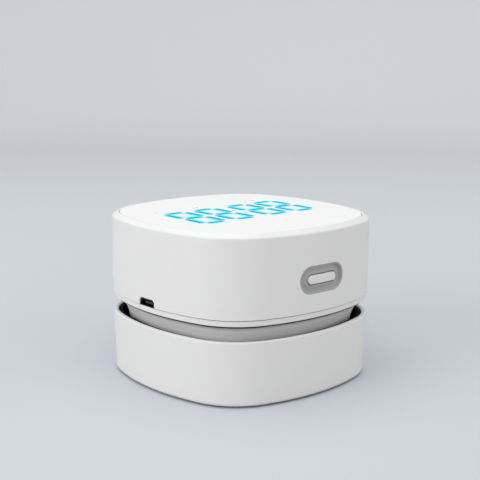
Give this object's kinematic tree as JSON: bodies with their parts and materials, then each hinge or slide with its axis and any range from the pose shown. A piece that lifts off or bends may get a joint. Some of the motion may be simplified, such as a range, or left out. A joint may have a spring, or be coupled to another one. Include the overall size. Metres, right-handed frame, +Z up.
{
  "type": "desktop mini vacuum cleaner",
  "caption": "Square soft-cornered desk vacuum: a head with a lit clock panel, button and charging socket lifts off a low dust cup with a suction inlet underneath.",
  "frame": {"origin": "on the resting surface, under the middle of the dust cup", "axes": "+Z up; -Y is the side with the power button; -X is the side with the charging socket"},
  "size_m": [0.085, 0.085, 0.0588],
  "materials": {
    "shell_white": "fine satin, moulded",
    "button_white": "smooth satin",
    "panel_white": "glossy, translucent white",
    "digit_cyan": "translucent, lit from below",
    "colon_pale": "translucent, dimly lit",
    "mark_grey": "translucent, unlit",
    "collar_grey": "satin, moulded",
    "bezel_grey": "satin, moulded",
    "liner_black": "fine matte, moulded",
    "inner_black": "matte, moulded",
    "inner_white": "matte, moulded",
    "fan_grey": "smooth, moulded",
    "circuit_green": "solder mask on glass-fibre board",
    "chip_black": "moulded",
    "lamp_white": "cast",
    "ribbon_grey": "flat insulated strip",
    "lead_insulation": "soft insulation",
    "steel": "plated",
    "motor_steel": "drawn, zinc plated",
    "core_iron": "stacked sheets",
    "magnet_ferrite": "sintered, dull",
    "brass": "plain",
    "bronze": "sintered",
    "copper_wire": "enamelled",
    "cell_sleeve": "shrunk plastic sleeve over a metal can",
    "seal_rubber": "soft, matte",
    "pad_rubber": "soft, matte",
    "gasket_foam": "closed-cell foam",
    "filter_cloth": "pleated felt",
    "bristle_black": "nylon filament"
  },
  "bodies": {
    "dust_unit": {"dust_cup": "shell_white", "cup_pan": "shell_white", "bin_liner": "liner_black", "neck_seat": "liner_black", "nozzle_plate": "liner_black", "nozzle_screws": "steel", "brush_ring": "inner_black", "bristle_tufts": "bristle_black", "foot_pads": "pad_rubber"},
    "button": {"power_button": "button_white", "switch_plunger": "chip_black"},
    "rotor": {"motor_shaft": "steel", "motor_armature": "core_iron", "motor_windings": "copper_wire", "motor_commutator": "copper_wire", "impeller": "fan_grey"},
    "filter": {"filter_frame": "inner_black", "filter_media": "filter_cloth", "filter_gasket": "gasket_foam"},
    "head": {"upper_shell": "shell_white", "base_plate": "shell_white", "display_panel": "panel_white", "clock_segments": "digit_cyan", "clock_colon": "colon_pale", "status_marks": "mark_grey", "neck_collar": "collar_grey", "button_bezel": "bezel_grey", "fan_shroud": "inner_black", "motor_end_cap": "inner_black", "battery_cradle": "inner_black", "light_box": "inner_white", "ribbon_sockets": "inner_white", "display_board": "circuit_green", "main_board": "circuit_green", "button_board": "circuit_green", "board_chips": "chip_black", "tact_switch": "chip_black", "usb_tongue": "chip_black", "display_leds": "lamp_white", "ribbon_cable": "ribbon_grey", "battery_leads": "lead_insulation", "motor_leads": "lead_insulation", "button_leads": "lead_insulation", "display_screws": "steel", "head_screws": "steel", "board_screws": "steel", "motor_screws": "steel", "shroud_screws": "steel", "usb_socket": "steel", "battery_tabs": "steel", "motor_can": "motor_steel", "motor_magnets": "magnet_ferrite", "motor_terminals": "brass", "motor_bushes": "bronze", "battery_cell": "cell_sleeve", "neck_seal": "seal_rubber"}
  },
  "joints": [
    {"name": "head_lift", "type": "slide", "parent": "dust_unit", "child": "head", "axis": [0, 0, 1], "range_m": [0, 0.035]},
    {"name": "button_press", "type": "slide", "parent": "head", "child": "button", "axis": [0, 1, 0], "range_m": [0, 0.0008], "stiffness_N_per_m": 300},
    {"name": "fan_spin", "type": "hinge", "parent": "head", "child": "rotor", "pos_m": [0, 0, 0.03], "axis": [0, 0, 1], "continuous": true},
    {"name": "filter_pull", "type": "slide", "parent": "head", "child": "filter", "axis": [0, 0, -1], "range_m": [0, 0.004]}
  ]
}
